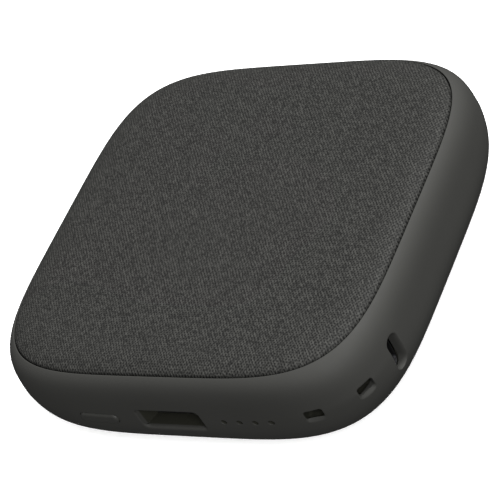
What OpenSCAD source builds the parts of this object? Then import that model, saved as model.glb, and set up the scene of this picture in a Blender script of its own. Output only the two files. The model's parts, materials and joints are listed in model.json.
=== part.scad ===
/* [Body] */
// Width and depth of the square body
body_w = 90; // [89:0.5:92]
// Height from the table to the top of the fabric
body_h = 25; // [25:0.1:26]
// Height at which the feet hold the shell off the table
foot_lift = 0.5; // [0.4:0.1:0.7]
// Height of the widest level of the side
mid_z = 14; // [13.5:0.1:14.5]
// Width of the rounding between the side and the flat top
top_round = 12; // [11:0.5:14]
// Fullness of the top rounding, 2 is an ellipse
top_curve = 3.9; // [3.5:0.1:4.5]
// Width of the rounding between the side and the flat bottom
base_round = 18; // [16:0.5:20]
// Fullness of the bottom rounding, 2 is an ellipse
base_curve = 3; // [2.7:0.1:3.3]
// Squareness of the outline at the top, 2 is a circle
top_power = 4.5; // [4:0.1:5]
// Squareness of the outline at the widest level
mid_power = 4.9; // [4.5:0.1:5.2]
// Squareness of the outline at the bottom
base_power = 4.2; // [4:0.1:4.6]
// Thickness of the side wall
wall = 2.2; // [2:0.1:2.4]
// Thickness of the bottom
floor_t = 2.2; // [2:0.1:2.3]

/* [Top] */
// Distance from the widest level in to the edge of the fabric
fabric_inset = 2.6; // [2.4:0.1:2.8]
// Thickness of the fabric
fabric_t = 0.65; // [0.5:0.05:0.8]
// Thickness of the plate under the fabric
plate_t = 1.6; // [1.4:0.1:1.7]
// Width of the groove round the fabric
groove_w = 0.3; // [0.2:0.05:0.4]

/* [Ports] */
// Height of the centre of the USB-A socket
usb_a_z = 12.6; // [12.4:0.1:12.8]
// Height of the centre of the upright USB-C socket
usb_c_z = 13.1; // [12.7:0.1:13.2]
// Distance of the USB-C socket in front of the middle
usb_c_front = 26.8; // [26.6:0.1:27.6]
// Distance of the button to the left of the middle
button_x = 17.5; // [17.2:0.1:18.2]
// Height of the centre of the button
button_z = 12.5; // [12.2:0.1:12.8]
// Length of the button
button_w = 9.5; // [8.6:0.1:10]
// Height of the button
button_h = 2.6; // [2.5:0.1:3.2]
// Distance of the middle of the row of lights to the right of the middle
light_x = 18; // [17.6:0.1:18.4]
// Height of the row of lights
light_z = 13; // [12.7:0.1:13.2]
// Spacing of the lights
light_pitch = 3.55; // [3.3:0.05:3.7]
// Height of the middle of the lanyard tunnel
lanyard_z = 13.9; // [13.6:0.1:14.2]
// Width of the lanyard tunnel
lanyard_w = 3.6; // [3.2:0.1:3.8]
// Height of the lanyard tunnel
lanyard_h = 2.6; // [2.4:0.1:2.8]

/* [Inside] */
// Width of a battery cell
cell_w = 50; // [46:1:50]
// Length of a battery cell
cell_l = 50; // [46:1:50]
// Thickness of a battery cell
cell_t = 7.2; // [6.5:0.1:7.2]
// Outer diameter of the charging coil
coil_d = 44; // [38:2.2:44]
// Number of turns in the coil
coil_turns = 11; // [8:1:12]
// Thickness of the wire of the coil
coil_wire = 1.1; // [1:0.1:1.1]

/* [Hidden] */

$fn = 48;
half_w = body_w / 2;
gap = 0.05;            // space between neighbouring pieces
cut = 1;               // how far a cut runs past the faces it opens

// Lofts
ring_points = 72;
base_steps = 7;
side_steps = 5;
dome_steps = 5;

// Rim and groove
fabric_half = half_w - fabric_inset;
rim_half = fabric_half + groove_w;
plate_half = fabric_half - fabric_t;
ledge_z = 21.6;
ledge_half = plate_half - 0.75;
ledge_t = 0.8;
ledge_slope = 1.6;
skirt_z = ledge_z + 0.3;
plate_rim = 2.4;

// Heights of the stack, from the bottom up
floor_z = foot_lift + floor_t;
foam_t = 0.7;
adhesive_t = 0.3;
cell_1_z = floor_z + foam_t + 2 * gap;
adhesive_z = cell_1_z + cell_t + gap;
cell_2_z = adhesive_z + adhesive_t + gap;
tray_t = 1.2;
tray_z = cell_2_z + cell_t + foam_t + 2 * gap;
ferrite_t = 0.85;
ferrite_z = tray_z + tray_t + gap;
coil_z = ferrite_z + ferrite_t + gap + coil_wire / 2;
plate_z = body_h - fabric_t - plate_t - gap;

// Case screws, posts and feet
post_at = 29;
post_r = 3;
post_z = 7;
boss_r = 3.3;
foot_r = 3.6;
foot_t = 1.7;
screw_r = 1;
screw_head_r = 1.9;
screw_head_t = 1.3;
screw_end_z = 12;
seat_z = foot_t + screw_head_t + 2 * gap;

// Coil tray and its screws
tray_w = 50;
ferrite_w = 46;
ear_x = 27;
ear_y = 18;
ear_r = 3;
ear_boss_r = 2.2;
small_screw_r = 0.75;
small_head_r = 1.45;
small_head_t = 1;

// Battery
cell_y = 8;
cell_front = cell_y - cell_l / 2;
pouch_edge = 2;
tab_l = 0.9;
protection_w = 30;
protection_t = 0.8;
protection_z = 5;
protection_h = 12;
protection_y = cell_front - tab_l - 2 * gap - protection_t;

// Main board
board_t = 1.6;
board_z = usb_a_z - 2.85 - gap - board_t;
board_top = board_z + board_t + gap;
board_w = 49;
board_front = 40;
board_back = 19.3;
board_post_r = 2.4;
board_posts = [[-21.8, -21.8], [9, -36.5], [22.3, -30]];

// USB-A socket
usb_a_w = 13.1;
usb_a_h = 5.7;
usb_a_l = 14;
usb_a_mouth_w = 15.2;
usb_a_mouth_h = 6;
usb_a_hole_w = 12.8;
usb_a_hole_h = 5.2;
usb_a_frame = 1.2;
usb_a_front = half_w - 4;
usb_a_metal = 0.35;
usb_a_tongue_z = usb_a_z - 0.1;
usb_a_tongue_w = 11.1;
usb_a_tongue_t = 1.84;
usb_a_blades = [-3.5, -1, 1, 3.5];

// USB-C socket
usb_c_w = 8.94;
usb_c_h = 3.26;
usb_c_l = 7.3;
usb_c_metal = 0.3;
usb_c_mouth_h = 9.2;
usb_c_mouth_w = 4;
usb_c_hole_h = 8.5;
usb_c_hole_w = 3.3;
usb_c_mouth = half_w - 3;
input_board_t = 1;
input_board_y = -usb_c_front + usb_c_h / 2 + gap;
input_board_w = 13.2;
input_board_h = 11.2;
cradle_low_x = 33;
cradle_high_x = 38;
cradle_hold = 1;

// Button and switch
button_face = half_w - 0.05;
button_gap = 0.15;
flange_y = half_w - wall - 1;
flange_t = 0.8;
button_post_z = 12;
plunger_r = 0.9;
plunger_tip = half_w - 5.75;
switch_w = 6;
switch_d = 3.5;
switch_front = half_w - 7;

// Lights
light_r = 0.65;
light_count = 4;
led_w = 1.6;
led_d = 1.1;
led_h = 1;
guide_y = half_w - wall - 1.3;
guide_t = 1.3;
guide_tip = half_w - 1.4;

// Lanyard tunnel: a half ring round an upright axis near the corner
lanyard_x = 37;
lanyard_y = -39.8;
lanyard_ring = 5.5;
lanyard_corner = 0.7;
lanyard_wall = 1.3;

wire_steps = 14;
wire_sides = 8;
lead_r = 0.5;

function mix(a, b, t) = a + (b - a) * t;
function signed_power(v, p) = sign(v) * pow(abs(v), p);
function outline_power(z) = z > mid_z
    ? mix(mid_power, top_power, (z - mid_z) / (body_h - mid_z))
    : mix(mid_power, base_power, (mid_z - z) / (mid_z - foot_lift));

// Outline of the body at one height
function ring(half, z) = [
    for (i = [0:ring_points - 1])
        let (a = 360 * i / ring_points, p = 2 / outline_power(z))
            [half * signed_power(cos(a), p), half * signed_power(sin(a), p), z]
];

// Side profile as [half width, height]: from the widest level (0) to the flat top or bottom (90)
function top_level(a, drop = 0) = [
    half_w - top_round * (1 - pow(cos(a), 2 / top_curve)),
    mix(mid_z, body_h, pow(sin(a), 2 / top_curve)) - drop
];
function base_level(a, inset, low) = [
    half_w - inset - base_round * (1 - pow(cos(a), 2 / base_curve)),
    mix(mid_z, low, pow(sin(a), 2 / base_curve))
];
function top_angle(half) = acos(pow(1 - (half_w - half) / top_round, top_curve / 2));
function dome(half, drop) = [
    for (i = [0:dome_steps]) top_level(mix(top_angle(half), 90, i / dome_steps), drop)
];
function reversed(list) = [for (i = [len(list) - 1:-1:0]) list[i]];

function bezier(p, t) = pow(1 - t, 3) * p[0] + 3 * pow(1 - t, 2) * t * p[1]
    + 3 * (1 - t) * t * t * p[2] + pow(t, 3) * p[3];
function bezier_slope(p, t) = pow(1 - t, 2) * (p[1] - p[0]) + 2 * (1 - t) * t * (p[2] - p[1])
    + t * t * (p[3] - p[2]);

// Solid skin over a stack of rings of points
module skin(rings) {
    n = len(rings[0]);
    last = len(rings) - 1;
    sides = [
        for (k = [0:last - 1], i = [0:n - 1])
            let (a = k * n + i, b = k * n + (i + 1) % n)
                each [[a, a + n, b + n], [a, b + n, b]]
    ];
    start = [for (i = [0:n - 1]) i];
    end = [for (i = [n - 1:-1:0]) last * n + i];
    polyhedron(points = [for (r = rings) each r], faces = concat([start], sides, [end]));
}

// Squircle body through a list of [half width, height] levels
module loft(levels) {
    skin([for (l = levels) ring(l[0], l[1])]);
}

// Insulated wire along one curve in the plane X = 0; p holds its [y, z] control points
module wire(p, r) {
    skin([
        for (i = [0:wire_steps])
            let (c = bezier(p, i / wire_steps), d = bezier_slope(p, i / wire_steps), u = d / norm(d))
                [for (j = [0:wire_sides - 1])
                    let (a = 360 * j / wire_sides)
                        [r * cos(a), c[0] + u[1] * r * sin(a), c[1] - u[0] * r * sin(a)]]
    ]);
}

module rounded_rect(w, h, r) {
    square([w - 2 * r, h], center = true);
    square([w, h - 2 * r], center = true);
    for (x = [-1, 1], y = [-1, 1])
        translate([x * (w / 2 - r), y * (h / 2 - r)])
            circle(r);
}

module stadium(w, h) {
    square([w - h, h], center = true);
    for (x = [-1, 1])
        translate([x * (w - h) / 2, 0])
            circle(h / 2);
}

// Stands a flat shape up, facing the front, and carries it from y = -front towards the back
module from_front(front, depth) {
    translate([0, -front, 0])
        rotate([90, 0, 0])
            mirror([0, 0, 1])
                linear_extrude(depth)
                    children();
}

// Stands a flat shape up, facing right, and carries it from x = right towards the middle
module from_right(right, depth) {
    translate([right - depth, 0, 0])
        rotate([90, 0, 90])
            linear_extrude(depth)
                children();
}

module box(low, high) {
    translate(low)
        cube(high - low);
}

module at_corners(x, y) {
    for (sx = [-1, 1], sy = [-1, 1])
        translate([sx * x, sy * y, 0])
            children();
}

module at_lights() {
    for (i = [0:light_count - 1])
        translate([light_x + (i - (light_count - 1) / 2) * light_pitch, 0, 0])
            children();
}

module screw(head_r, head_t, shank_r, shank_l) {
    cylinder(r = shank_r, h = shank_l);
    translate([0, 0, -head_t])
        difference() {
            cylinder(r = head_r, h = head_t);
            translate([0, 0, -cut])
                cylinder(r = head_r / 2.2, h = cut + head_t / 2, $fn = 6);
        }
}

module lanyard_ring_at(w, h) {
    translate([lanyard_x, lanyard_y, lanyard_z])
        rotate_extrude()
            translate([lanyard_ring, 0])
                rounded_rect(w, h, lanyard_corner);
}

module shell_bowl() {
    rim_angle = top_angle(rim_half);
    outside = concat(
        [for (i = [0:base_steps]) base_level(90 - 90 * i / base_steps, 0, foot_lift)],
        [for (i = [1:side_steps]) top_level(rim_angle * i / side_steps)]
    );
    ledge = [
        [rim_half, ledge_z],
        [ledge_half, ledge_z],
        [ledge_half, ledge_z - ledge_t],
        [half_w - wall - 0.3, ledge_z - ledge_t - ledge_slope]
    ];
    inside = [for (i = [0:base_steps]) base_level(90 * i / base_steps, wall, floor_z)];
    loft(concat(outside, ledge, inside));
}

module port_cuts() {
    translate([0, 0, usb_a_z]) {
        from_front(half_w + cut, cut + 1.7)
            rounded_rect(usb_a_mouth_w, usb_a_mouth_h, 0.9);
        from_front(half_w + cut, 2 * cut + half_w - usb_a_front)
            rounded_rect(usb_a_hole_w, usb_a_hole_h, 0.7);
    }
    translate([0, -usb_c_front, usb_c_z]) {
        from_right(half_w + cut, cut + 1.4)
            rotate(90)
                stadium(usb_c_mouth_h, usb_c_mouth_w);
        from_right(half_w + cut, cut + 2 * wall)
            rotate(90)
                stadium(usb_c_hole_h, usb_c_hole_w);
        from_right(usb_c_mouth + 0.3, 2 * wall)
            rotate(90)
                stadium(usb_c_w + 0.3, usb_c_h + 0.3);
    }
    translate([-button_x, 0, button_z])
        from_front(half_w + cut, cut + 2 * wall)
            stadium(button_w + 2 * button_gap, button_h + 2 * button_gap);
    translate([0, 0, light_z])
        at_lights()
            from_front(half_w + cut, cut + 2 * wall)
                circle(light_r);
    lanyard_ring_at(lanyard_w, lanyard_h);
}

module lanyard_block() {
    intersection() {
        translate([lanyard_x, lanyard_y, lanyard_z - lanyard_h / 2 - lanyard_wall])
            cylinder(r = lanyard_ring + lanyard_w / 2 + lanyard_wall, h = lanyard_h + 2 * lanyard_wall);
        loft([
            [half_w - wall / 2, lanyard_z - lanyard_h],
            [half_w - wall / 2, lanyard_z + lanyard_h]
        ]);
    }
}

module input_cradle() {
    middle = input_board_y + input_board_t / 2;
    top = usb_c_z - input_board_h / 2 + cradle_hold;
    box([cradle_low_x, middle - 2, floor_z - 0.5], [cradle_high_x, middle + 2, top]);
}

module housing_shell() {
    color([0.24, 0.25, 0.24])
        difference() {
            union() {
                shell_bowl();
                lanyard_block();
                at_corners(post_at, post_at)
                    translate([0, 0, floor_z - 1])
                        cylinder(r = boss_r, h = post_z - gap - floor_z + 1);
                for (p = board_posts)
                    translate([p[0], p[1], floor_z - 0.6])
                        cylinder(r = board_post_r, h = board_z - gap - floor_z + 0.6);
                input_cradle();
                translate([0, 0, usb_a_z])
                    from_front(half_w - wall / 2, half_w - wall / 2 - usb_a_front - gap)
                        rounded_rect(usb_a_hole_w + 2 * usb_a_frame, usb_a_hole_h + 2 * usb_a_frame, 1.2);
            }
            port_cuts();
            at_corners(post_at, post_at) {
                cylinder(r = foot_r + gap, h = foot_t + gap);
                cylinder(r = screw_head_r + 0.2, h = seat_z);
                cylinder(r = screw_r + 0.15, h = post_z + cut);
            }
            for (p = board_posts)
                translate([p[0], p[1], floor_z + 0.6])
                    cylinder(r = small_screw_r + gap, h = board_z);
            box(
                [cradle_low_x - cut, input_board_y - gap, usb_c_z - input_board_h / 2 - gap],
                [cradle_high_x + cut, input_board_y + input_board_t + gap, usb_c_z]
            );
        }
}

module top_plate() {
    color([0.2, 0.2, 0.2])
        difference() {
            union() {
                loft(concat(
                    [
                        [plate_half - plate_rim, plate_z],
                        [plate_half - plate_rim, ledge_z + gap + 0.6],
                        [ledge_half - 0.3, ledge_z + gap],
                        [plate_half - gap, ledge_z + gap]
                    ],
                    dome(plate_half - gap, fabric_t + gap)
                ));
                at_corners(post_at, post_at)
                    translate([0, 0, post_z])
                        cylinder(r = post_r, h = plate_z + 0.5 - post_z);
                at_corners(ear_x, ear_y)
                    translate([0, 0, tray_z + tray_t + gap])
                        cylinder(r = ear_boss_r, h = plate_z + 0.5 - tray_z - tray_t - gap);
            }
            at_corners(post_at, post_at)
                translate([0, 0, post_z - cut])
                    cylinder(r = screw_r + gap, h = screw_end_z + 1 + cut - post_z);
            at_corners(ear_x, ear_y)
                translate([0, 0, tray_z])
                    cylinder(r = small_screw_r + gap, h = 3.5);
        }
}

module fabric_cover() {
    under = dome(plate_half, fabric_t);
    color([0.3, 0.31, 0.3])
        loft(concat(
            reversed(under),
            [[plate_half, skirt_z], [fabric_half, skirt_z]],
            dome(fabric_half, 0)
        ));
}

module rubber_feet() {
    color([0.12, 0.12, 0.12])
        at_corners(post_at, post_at)
            cylinder(r = foot_r, h = foot_t);
}

module case_screws() {
    color("silver")
        at_corners(post_at, post_at)
            translate([0, 0, seat_z])
                screw(screw_head_r, screw_head_t, screw_r, screw_end_z - seat_z);
}

module charging_coil() {
    color([0.72, 0.4, 0.2])
        translate([0, 0, coil_z])
            rotate_extrude()
                for (i = [0:coil_turns - 1])
                    translate([coil_d / 2 - (i + 0.5) * (coil_wire - 0.02), 0])
                        circle(coil_wire / 2);
}

module ferrite_sheet() {
    color([0.25, 0.25, 0.28])
        translate([0, 0, ferrite_z])
            linear_extrude(ferrite_t)
                rounded_rect(ferrite_w, ferrite_w, 4);
}

module coil_tray() {
    color([0.85, 0.85, 0.82])
        translate([0, 0, tray_z])
            difference() {
                linear_extrude(tray_t) {
                    rounded_rect(tray_w, tray_w, 4);
                    at_corners(ear_x, ear_y)
                        circle(ear_r);
                }
                at_corners(ear_x, ear_y)
                    translate([0, 0, -cut])
                        cylinder(r = small_screw_r + 0.15, h = tray_t + 2 * cut);
                translate([0, 0, -cut])
                    cylinder(r = 5, h = tray_t + 2 * cut);
            }
}

module coil_screws() {
    color("silver")
        at_corners(ear_x, ear_y)
            translate([0, 0, tray_z - gap])
                screw(small_head_r, small_head_t, small_screw_r, 3.2);
}

module coil_thermistor() {
    color([0.75, 0.3, 0.15])
        translate([0, 0, ferrite_z + ferrite_t + gap]) {
            cylinder(r = 1.1, h = 0.9);
            for (x = [-0.5, 0.5])
                box([x - 0.15, 0, 0], [x + 0.15, 8, 0.3]);
        }
}

module coil_leads() {
    start_y = -coil_d / 2 - gap - 0.1;
    route = [[start_y, coil_z], [-30, coil_z], [-25.6, 15], [-25.6, board_top]];
    color([0.75, 0.45, 0.2])
        for (x = [2.5, 5])
            translate([x, 0, 0])
                wire(route, lead_r);
}

module cell(z) {
    color([0.72, 0.73, 0.75])
        translate([0, cell_y, z])
            linear_extrude(cell_t)
                rounded_rect(cell_w, cell_l, pouch_edge);
}

module lower_cell() {
    cell(cell_1_z);
}

module upper_cell() {
    cell(cell_2_z);
}

module cell_adhesive() {
    color([0.9, 0.9, 0.85])
        translate([0, cell_y, adhesive_z])
            linear_extrude(adhesive_t)
                rounded_rect(cell_w - 8, cell_l - 8, 1);
}

module cell_foam() {
    color([0.15, 0.15, 0.15])
        for (z = [floor_z + gap, cell_2_z + cell_t + gap])
            translate([0, cell_y, z])
                linear_extrude(foam_t - gap)
                    rounded_rect(cell_w - 12, cell_l - 16, 1);
}

module cell_tabs() {
    color([0.8, 0.8, 0.78])
        for (x = [-12, 8], z = [cell_1_z, cell_2_z])
            translate([x, cell_front - gap - tab_l, z + cell_t / 2 - 0.1])
                cube([4, tab_l, 0.2]);
}

module protection_board() {
    hole_x = protection_w / 2 - 2;
    color([0.1, 0.35, 0.2])
        difference() {
            box(
                [-protection_w / 2, protection_y, protection_z],
                [protection_w / 2, protection_y + protection_t, protection_z + protection_h]
            );
            for (side = [-1, 1])
                translate([side * hole_x, protection_y - cut, protection_z + protection_h / 2])
                    rotate([-90, 0, 0])
                        cylinder(r = 0.8, h = protection_t + 2 * cut);
        }
}

module battery_leads() {
    route = [[protection_y - gap, 14], [-21.5, 14], [-22.2, 12.5], [-22.2, board_top]];
    for (i = [0, 1])
        color(i == 0 ? "red" : "black")
            translate([-10 + 3 * i, 0, 0])
                wire(route, lead_r);
}

module main_board() {
    tab_x = usb_a_w / 2;
    color([0.08, 0.3, 0.18])
        difference() {
            box([-board_w / 2, -board_front, board_z], [board_w / 2, -board_back, board_z + board_t]);
            for (p = board_posts)
                translate([p[0], p[1], board_z - cut])
                    cylinder(r = small_screw_r + 0.25, h = board_t + 2 * cut);
            for (x = [-tab_x, tab_x], y = [-usb_a_front + 3, -usb_a_front + 9])
                box([x - 0.5, y - 0.2, board_z - cut], [x + 0.5, y + 1.4, board_z + board_t + cut]);
        }
}

module board_screws() {
    color("silver")
        for (p = board_posts)
            translate([p[0], p[1], board_top])
                rotate([180, 0, 0])
                    screw(small_head_r, small_head_t, small_screw_r, 5.5);
}

module inductors() {
    color([0.3, 0.3, 0.32])
        for (p = [[-17.5, -26.8], [12.5, -27.4]])
            translate([p[0], p[1], board_top]) {
                linear_extrude(3.2)
                    rounded_rect(7, 7, 1.2);
                for (x = [-1, 1])
                    box([x * 3 - 0.9, -1.5, 0], [x * 3 + 0.9, 1.5, 3.5]);
            }
}

module board_chips() {
    color([0.08, 0.08, 0.09]) {
        box([16, -35.8, board_top], [20.5, -31.3, board_top + 0.9]);
        box([17.8, -28.5, board_top], [20.8, -25.5, board_top + 0.8]);
        box([-13.2, -34, board_top], [-8.4, -30.2, board_top + 1.4]);
    }
}

module board_capacitors() {
    color([0.6, 0.5, 0.38])
        for (i = [0:3])
            translate([9.5 + 3.8 * i, -21.6, board_top])
                box([-1.3, -1, 0], [1.3, 1, 1.6]);
}

module status_leds() {
    color([0.95, 0.95, 0.9])
        at_lights()
            box([-led_w / 2, -board_front, board_top], [led_w / 2, led_d - board_front, board_top + led_h]);
}

module light_guide() {
    bar = (light_count - 1) * light_pitch + 3;
    color([0.5, 0.52, 0.52])
        union() {
            box(
                [light_x - bar / 2, -guide_y, board_top + 0.3],
                [light_x + bar / 2, guide_t - guide_y, light_z + 1.2]
            );
            translate([0, 0, light_z])
                at_lights()
                    from_front(guide_tip, guide_tip - guide_y + 0.5)
                        circle(light_r - 0.08);
        }
}

module tact_switch() {
    color([0.15, 0.15, 0.16])
        difference() {
            box(
                [-button_x - switch_w / 2, -switch_front, board_top],
                [-button_x + switch_w / 2, switch_d - switch_front, board_top + switch_d]
            );
            translate([-button_x, 0, button_post_z])
                from_front(switch_front + cut, cut + 1.9)
                    circle(plunger_r + 0.1);
        }
}

module switch_plunger() {
    color([0.9, 0.9, 0.9])
        translate([-button_x, 0, button_post_z])
            from_front(plunger_tip, switch_front + 1.4 - plunger_tip + 2 * (plunger_tip - switch_front))
                circle(plunger_r);
}

module power_button() {
    color([0.26, 0.27, 0.26])
        union() {
            translate([-button_x, 0, button_z]) {
                from_front(button_face, button_face - flange_y + 0.2)
                    stadium(button_w, button_h);
                from_front(flange_y, flange_t)
                    rounded_rect(button_w + 2, button_h + 1.6, 1.2);
            }
            translate([-button_x, 0, button_post_z])
                from_front(flange_y - flange_t + 0.2, flange_y - flange_t + 0.2 - plunger_tip - gap)
                    circle(1.2);
        }
}

module usb_a_shell() {
    tab_x = usb_a_w / 2;
    color("silver")
        difference() {
            union() {
                translate([0, 0, usb_a_z])
                    from_front(usb_a_front, usb_a_l)
                        rounded_rect(usb_a_w, usb_a_h, 0.6);
                for (x = [-tab_x, tab_x - usb_a_metal], y = [-usb_a_front + 3, -usb_a_front + 9])
                    box([x, y, board_z - 0.4], [x + usb_a_metal, y + 1.2, usb_a_z]);
            }
            translate([0, 0, usb_a_z])
                from_front(usb_a_front + cut, usb_a_l + 2 * cut)
                    rounded_rect(usb_a_w - 2 * usb_a_metal, usb_a_h - 2 * usb_a_metal, 0.3);
            for (x = [-3.3, 3.3])
                box([x - 0.9, 3 - usb_a_front, usb_a_z], [x + 0.9, 8.5 - usb_a_front, usb_a_z + usb_a_h]);
        }
}

module usb_a_insulator() {
    inner_w = usb_a_w - 2 * usb_a_metal - 2 * gap;
    inner_h = usb_a_h - 2 * usb_a_metal - 2 * gap;
    color([0.9, 0.9, 0.92])
        union() {
            translate([0, 0, usb_a_z])
                from_front(usb_a_front - usb_a_l + 3.5, 3.4)
                    rounded_rect(inner_w, inner_h, 0.25);
            box(
                [-usb_a_tongue_w / 2, 1.4 - usb_a_front, usb_a_tongue_z],
                [usb_a_tongue_w / 2, usb_a_l - 3 - usb_a_front, usb_a_tongue_z + usb_a_tongue_t]
            );
        }
}

module usb_a_contacts() {
    color("gold")
        for (x = usb_a_blades)
            box(
                [x - 0.5, 2.2 - usb_a_front, usb_a_tongue_z - 0.27],
                [x + 0.5, usb_a_l - 4 - usb_a_front, usb_a_tongue_z - 0.02]
            );
}

module input_board() {
    x_high = usb_c_mouth - 1.8;
    color([0.08, 0.3, 0.18])
        box(
            [x_high - input_board_w, input_board_y, usb_c_z - input_board_h / 2],
            [x_high, input_board_y + input_board_t, usb_c_z + input_board_h / 2]
        );
}

module usb_c_shell() {
    color("silver")
        translate([0, -usb_c_front, usb_c_z])
            difference() {
                from_right(usb_c_mouth, usb_c_l)
                    rotate(90)
                        stadium(usb_c_w, usb_c_h);
                from_right(usb_c_mouth + cut, usb_c_l + cut - usb_c_metal)
                    rotate(90)
                        stadium(usb_c_w - 2 * usb_c_metal, usb_c_h - 2 * usb_c_metal);
            }
}

module usb_c_tongue() {
    color([0.1, 0.1, 0.1])
        translate([0, -usb_c_front, usb_c_z])
            union() {
                from_right(usb_c_mouth - 0.8, usb_c_l - 0.8 - usb_c_metal - gap)
                    rotate(90)
                        rounded_rect(6.7, 0.7, 0.2);
                from_right(usb_c_mouth - 5, usb_c_l - 5 - usb_c_metal - gap)
                    rotate(90)
                        stadium(usb_c_w - 2 * usb_c_metal - 2 * gap, usb_c_h - 2 * usb_c_metal - 2 * gap);
            }
}

module usb_c_contacts() {
    pads = 8;
    color("gold")
        translate([usb_c_mouth - 4.7, -usb_c_front, usb_c_z])
            for (i = [0:pads - 1], side = [-1, 1])
                translate([0, side * 0.42, (i - (pads - 1) / 2) * 0.75])
                    box([0, -0.05, -0.13], [3.5, 0.05, 0.13]);
}

module input_leads() {
    route = [[board_w / 2 - 1.5, board_top], [board_w / 2 - 1.5, 12.5], [25.5, 13.5], [29.8, 13.5]];
    for (i = [0, 1])
        color(i == 0 ? "red" : "black")
            translate([0, input_board_y + input_board_t + lead_r + 0.1 + 1.4 * i, 0])
                mirror([1, -1, 0])
                    wire(route, lead_r);
}

housing_shell();
top_plate();
fabric_cover();
rubber_feet();
case_screws();
charging_coil();
ferrite_sheet();
coil_tray();
coil_screws();
coil_thermistor();
coil_leads();
lower_cell();
upper_cell();
cell_adhesive();
cell_foam();
cell_tabs();
protection_board();
battery_leads();
main_board();
board_screws();
inductors();
board_chips();
board_capacitors();
status_leds();
light_guide();
tact_switch();
switch_plunger();
power_button();
usb_a_shell();
usb_a_insulator();
usb_a_contacts();
input_board();
usb_c_shell();
usb_c_tongue();
usb_c_contacts();
input_leads();
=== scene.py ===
import json
import math

import bmesh
import bpy
import numpy as np
from mathutils import Matrix, Vector
from mathutils.geometry import delaunay_2d_cdt


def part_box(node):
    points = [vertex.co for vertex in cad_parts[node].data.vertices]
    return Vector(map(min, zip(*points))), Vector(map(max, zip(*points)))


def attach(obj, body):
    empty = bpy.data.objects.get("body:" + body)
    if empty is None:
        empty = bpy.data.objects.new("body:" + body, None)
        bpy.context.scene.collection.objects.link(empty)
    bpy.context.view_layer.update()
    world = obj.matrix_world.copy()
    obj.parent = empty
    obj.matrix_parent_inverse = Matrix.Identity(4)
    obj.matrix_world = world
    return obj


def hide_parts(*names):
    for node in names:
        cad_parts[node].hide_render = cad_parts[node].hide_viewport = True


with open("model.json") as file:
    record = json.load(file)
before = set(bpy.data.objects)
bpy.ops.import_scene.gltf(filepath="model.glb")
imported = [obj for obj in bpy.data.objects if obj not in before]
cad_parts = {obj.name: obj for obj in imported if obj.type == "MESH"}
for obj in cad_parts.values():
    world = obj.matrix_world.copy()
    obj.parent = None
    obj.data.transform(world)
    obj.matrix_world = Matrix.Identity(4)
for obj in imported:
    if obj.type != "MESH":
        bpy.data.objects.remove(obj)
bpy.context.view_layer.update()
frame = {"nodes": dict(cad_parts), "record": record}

# ---------------------------------------------------------------- sizes, in millimetres
MM = 0.001


def box_mm(node):
    low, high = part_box(node)
    return np.array(low) / MM, np.array(high) / MM


def centre_mm(node):
    low, high = box_mm(node)
    return (low + high) / 2


# Body: a squircle whose side bulges out between a flat bottom and a flat top
HALF = box_mm("housing_shell")[1][0]
LIFT = box_mm("housing_shell")[0][2]
TOP = box_mm("fabric_cover")[1][2]
MID_Z = 14
TOP_ROUND = 12
TOP_CURVE = 3.9
BASE_ROUND = 18
BASE_CURVE = 3
TOP_POWER = 4.5
MID_POWER = 4.9
BASE_POWER = 4.2
WALL = 2.2
FLOOR_Z = LIFT + WALL

# Fabric and the groove round it
FABRIC_HALF = box_mm("fabric_cover")[1][0] - 0.08
FABRIC_EDGE_Z = box_mm("fabric_cover")[0][2]
FABRIC_T = 0.6
FABRIC_ROLL = 0.15
RIM_HALF = FABRIC_HALF + 0.2
RIM_ROLL = 0.25
LEDGE_Z = FABRIC_EDGE_Z - 0.3
LEDGE_HALF = 41
LEDGE_T = 0.8
LEDGE_SLOPE = 1.6
LEDGE_SHOULDER = 0.3
WARP_PITCH = 0.345
WEFT_PITCH = 0.5
CLOTH_CELLS = 176

# Openings on the front. An outline is a width, a height and a corner radius; a lip or a slope
# is its size at the top and sides, and its size on the lower side.
USB_A_MOUTH = (15.0, 5.5, 1.1)
USB_A_MOUTH_Z = 12.85
USB_A_LIP = (0.3, 0.7)
USB_A_NARROWS_FROM = 0.5
USB_A_NARROWING = (0.12, 0.16, 0.5, 0.96, 1)
USB_A_HOLE = (12.8, 5.2, 0.03)
USB_A_FRAME = (15.2, 7.6, 1.2)
USB_A_Z = 12.6
USB_A_IN_Y = box_mm("usb_a_shell")[0][1] - 0.05
SIDE_POINTS = (24, 8)
BUTTON_X = centre_mm("power_button")[0]
BUTTON_Z = 12.5
BUTTON_W = 9.5
BUTTON_H = 2.6
BUTTON_GAP = 0.08
BUTTON_HOLE_LIP = 0.08
BUTTON_PROUD = 0.4
BUTTON_LIP = 0.6
BUTTON_CROWN = 0.05
BUTTON_CROWN_FROM = 1.25
FLANGE_MARGIN = 1.6
FLANGE_CORNER = 1.2
FLANGE_IN = 1
FLANGE_T = 0.8
BUTTON_POST_R = 1.2
BUTTON_POST_Z = 12
LIGHT_Z = 13
LIGHT_R = 0.65
LIGHT_LIP = 0.06
LIGHT_COUNT = 4
LIGHT_PITCH = 3.55
LIGHT_X = centre_mm("light_guide")[0]

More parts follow.
